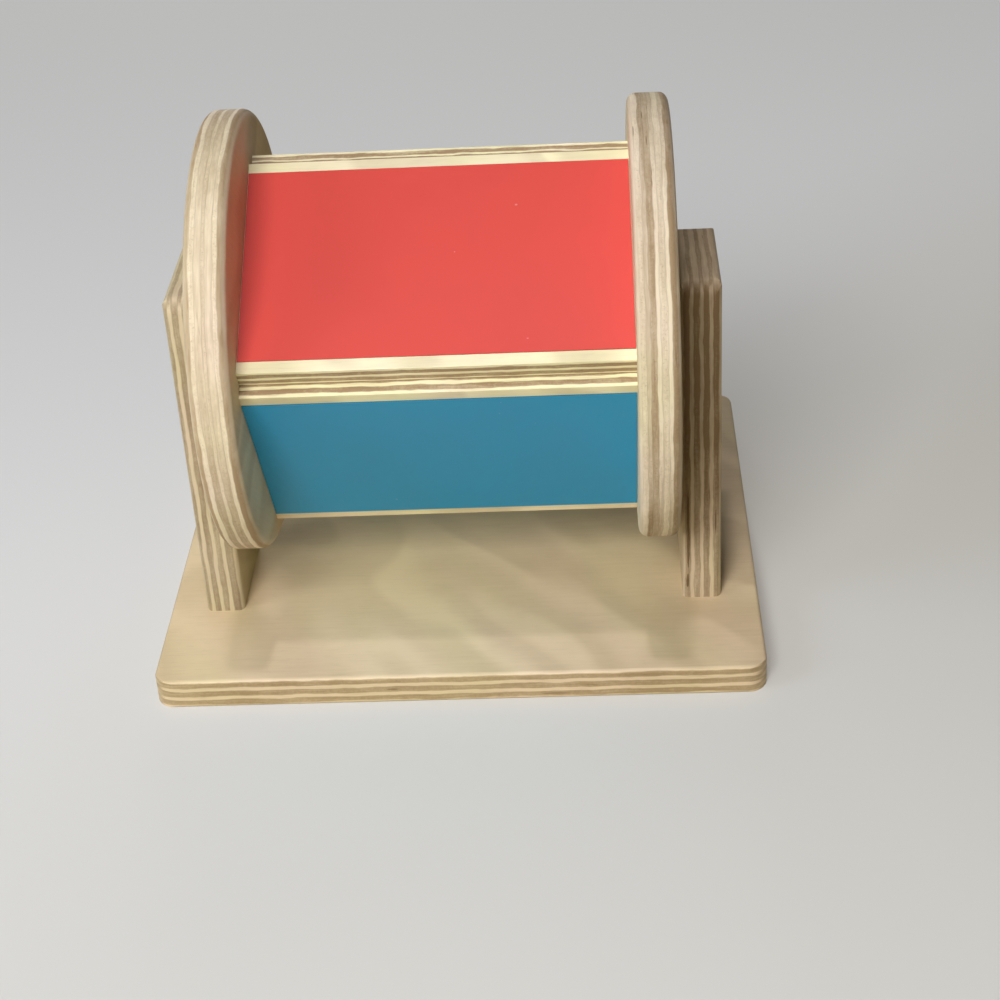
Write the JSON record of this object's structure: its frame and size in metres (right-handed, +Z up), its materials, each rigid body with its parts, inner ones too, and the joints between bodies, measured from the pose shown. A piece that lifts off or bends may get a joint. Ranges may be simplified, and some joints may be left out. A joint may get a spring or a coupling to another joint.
{
  "type": "spinning drum toy",
  "caption": "Wooden spinning drum toy: a square box of coloured panels between round discs, turning on axles between two uprights on a flat base.",
  "frame": {"origin": "centre of the base's underside, on the surface that the toy stands on", "axes": "+Z up, +X to the right along the drum's axle, -Y towards the front, where the uprights stand nearer the base's edge"},
  "size_m": [0.1746, 0.165, 0.1544],
  "materials": {
    "base_plywood": "satin lacquered birch plywood",
    "upright_plywood": "satin lacquered birch plywood",
    "disc_plywood": "satin lacquered birch plywood",
    "panel_plywood": "satin lacquered birch plywood",
    "beech_dowel": "sanded beech",
    "washer_nylon": "matte",
    "screw_steel": "zinc plated",
    "red_sheet": "satin",
    "blue_sheet": "satin",
    "green_sheet": "satin",
    "yellow_sheet": "satin"
  },
  "bodies": {
    "stand": {"base_plate": "base_plywood", "left_upright": "upright_plywood", "right_upright": "upright_plywood", "left_screws": "screw_steel", "right_screws": "screw_steel"},
    "drum": {"left_disc": "disc_plywood", "right_disc": "disc_plywood", "left_axle": "beech_dowel", "right_axle": "beech_dowel", "left_washer": "washer_nylon", "right_washer": "washer_nylon", "red_panel": "panel_plywood", "blue_panel": "panel_plywood", "green_panel": "panel_plywood", "yellow_panel": "panel_plywood", "red_film": "red_sheet", "blue_film": "blue_sheet", "green_film": "green_sheet", "yellow_film": "yellow_sheet"}
  },
  "joints": [
    {"name": "drum_spin", "type": "hinge", "parent": "stand", "child": "drum", "pos_m": [0, -0.0245, 0.0924], "axis": [1, 0, 0], "continuous": true}
  ]
}
